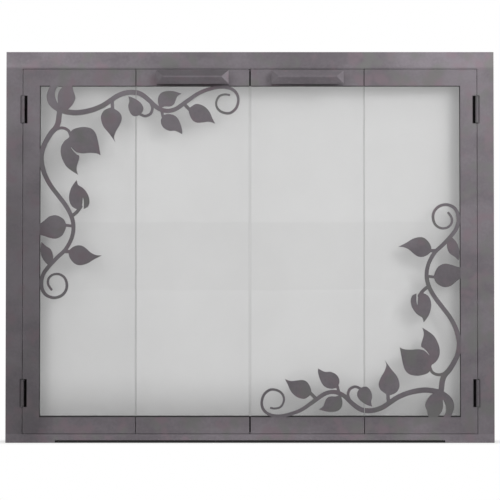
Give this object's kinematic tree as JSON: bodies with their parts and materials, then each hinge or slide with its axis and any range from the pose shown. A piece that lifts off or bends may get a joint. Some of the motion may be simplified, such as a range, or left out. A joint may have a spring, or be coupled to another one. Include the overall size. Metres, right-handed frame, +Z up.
{
  "type": "fireplace glass door",
  "caption": "Steel fireplace door frame with tracked folding glass leaves, bar handles, lift-off hinges and a cut-metal vine across opposite corners.",
  "frame": {"origin": "on the hearth, at mid width, in the plane where the frame's back meets the surround", "axes": "+X to the right as seen from the room, +Y into the firebox, +Z up"},
  "size_m": [1.016, 0.132, 0.813],
  "materials": {
    "pewter_coated_steel": "matte pewter-grey powder coat over mild steel",
    "blackened_steel": "matte black heat-proof paint over mild steel",
    "zinc_plated_steel": "satin zinc plate",
    "magnet": "satin nickel plate over a sintered magnet",
    "catch_plastic": "matte black heat-proof moulding",
    "gasket": "matte black flat woven gasket",
    "glass": "clear tempered glass, lightly grey, with bevelled free edges"
  },
  "bodies": {
    "frame": {"frame_head": "pewter_coated_steel", "frame_jamb_left": "pewter_coated_steel", "frame_jamb_right": "pewter_coated_steel", "frame_sill": "pewter_coated_steel", "guide_track": "zinc_plated_steel", "catch_housings": "catch_plastic", "catch_magnets": "magnet", "jamb_stops_left": "blackened_steel", "jamb_stops_right": "blackened_steel", "frame_screws": "zinc_plated_steel", "hinge_pin_halves_left": "pewter_coated_steel", "hinge_pin_halves_right": "pewter_coated_steel", "lintel_brackets": "blackened_steel", "hearth_brackets": "blackened_steel", "bracket_bolts": "zinc_plated_steel"},
    "outer_leaf_left": {"outer_leaf_face_left": "pewter_coated_steel", "outer_leaf_bars_left": "pewter_coated_steel", "outer_gasket_left": "gasket", "outer_glass_left": "glass", "outer_vine_left": "pewter_coated_steel", "outer_glass_clips_left": "zinc_plated_steel", "outer_clip_screws_left": "zinc_plated_steel", "hinge_sleeves_left": "pewter_coated_steel", "fold_hinge_outer_left": "blackened_steel", "fold_hinge_pins_left": "zinc_plated_steel"},
    "inner_leaf_left": {"inner_leaf_face_left": "pewter_coated_steel", "inner_leaf_bars_left": "pewter_coated_steel", "inner_gasket_left": "gasket", "inner_glass_left": "glass", "inner_vine_left": "pewter_coated_steel", "inner_glass_clips_left": "zinc_plated_steel", "inner_clip_screws_left": "zinc_plated_steel", "fold_hinge_inner_left": "blackened_steel", "guide_pin_left": "zinc_plated_steel", "strike_plate_left": "zinc_plated_steel", "handle_left": "pewter_coated_steel", "handle_screws_left": "zinc_plated_steel"},
    "outer_leaf_right": {"outer_leaf_face_right": "pewter_coated_steel", "outer_leaf_bars_right": "pewter_coated_steel", "outer_gasket_right": "gasket", "outer_glass_right": "glass", "outer_vine_right": "pewter_coated_steel", "outer_glass_clips_right": "zinc_plated_steel", "outer_clip_screws_right": "zinc_plated_steel", "hinge_sleeves_right": "pewter_coated_steel", "fold_hinge_outer_right": "blackened_steel", "fold_hinge_pins_right": "zinc_plated_steel"},
    "inner_leaf_right": {"inner_leaf_face_right": "pewter_coated_steel", "inner_leaf_bars_right": "pewter_coated_steel", "inner_gasket_right": "gasket", "inner_glass_right": "glass", "inner_vine_right": "pewter_coated_steel", "inner_glass_clips_right": "zinc_plated_steel", "inner_clip_screws_right": "zinc_plated_steel", "fold_hinge_inner_right": "blackened_steel", "guide_pin_right": "zinc_plated_steel", "strike_plate_right": "zinc_plated_steel", "handle_right": "pewter_coated_steel", "handle_screws_right": "zinc_plated_steel"}
  },
  "joints": [
    {"name": "leaf_hinge_left", "type": "hinge", "parent": "frame", "child": "outer_leaf_left", "pos_m": [-0.4735, -0.0376, 0.4], "axis": [0, 0, -1], "range_deg": [0, 82]},
    {"name": "fold_hinge_left", "type": "hinge", "parent": "outer_leaf_left", "child": "inner_leaf_left", "pos_m": [-0.24215, -0.0207, 0.4], "axis": [0, 0, 1], "range_deg": [0, 164]},
    {"name": "leaf_hinge_right", "type": "hinge", "parent": "frame", "child": "outer_leaf_right", "pos_m": [0.4735, -0.0376, 0.4], "axis": [0, 0, 1], "range_deg": [0, 82]},
    {"name": "fold_hinge_right", "type": "hinge", "parent": "outer_leaf_right", "child": "inner_leaf_right", "pos_m": [0.24215, -0.0207, 0.4], "axis": [0, 0, -1], "range_deg": [0, 164]}
  ],
  "couplings": [
    {"joint": "fold_hinge_left", "follows": "leaf_hinge_left", "ratio": 2},
    {"joint": "fold_hinge_right", "follows": "leaf_hinge_right", "ratio": 2}
  ]
}
